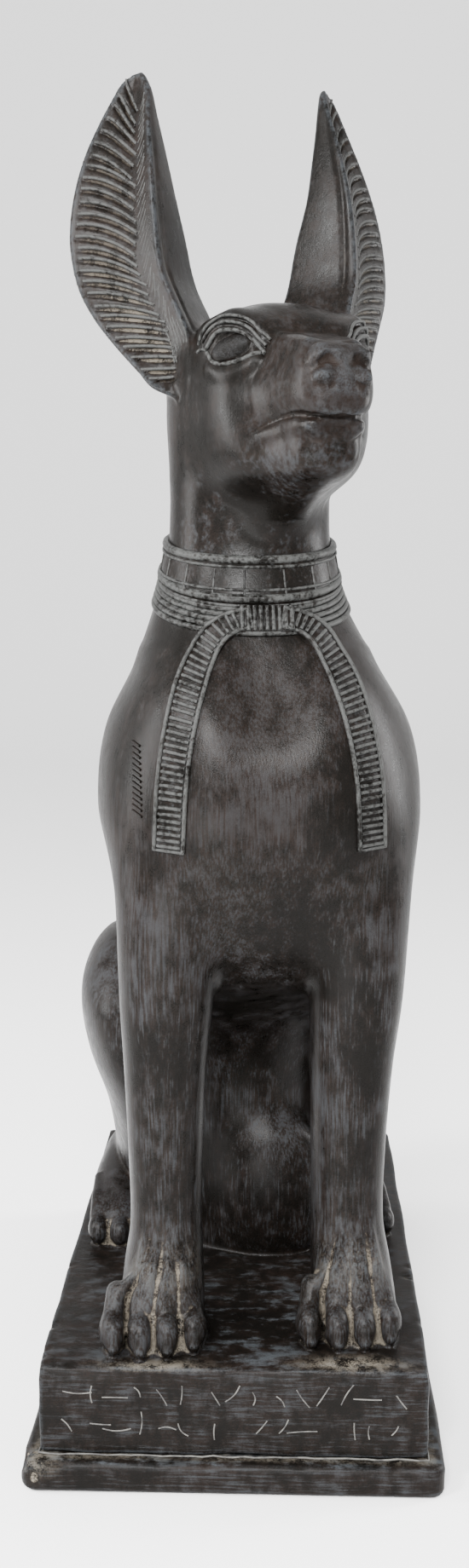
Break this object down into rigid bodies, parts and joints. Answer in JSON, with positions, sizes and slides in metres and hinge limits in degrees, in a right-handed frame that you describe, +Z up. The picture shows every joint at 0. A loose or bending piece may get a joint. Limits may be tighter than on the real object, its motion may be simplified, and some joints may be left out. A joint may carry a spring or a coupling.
{
  "type": "seated jackal figure",
  "caption": "Seated jackal with tall upright ears, a collar and a chest ribbon, on a two-step rectangular plinth with inscribed marks on its front.",
  "frame": {"origin": "middle of the base slab's underside", "axes": "+Z up, -Y the way the body faces, +X towards the figure's left"},
  "size_m": [0.25, 0.406, 0.8309],
  "materials": {
    "dark_cast": "satin",
    "dark_slab": "satin"
  },
  "bodies": {
    "root": {"jackal_and_block": "dark_cast", "base_slab": "dark_slab"}
  },
  "joints": []
}
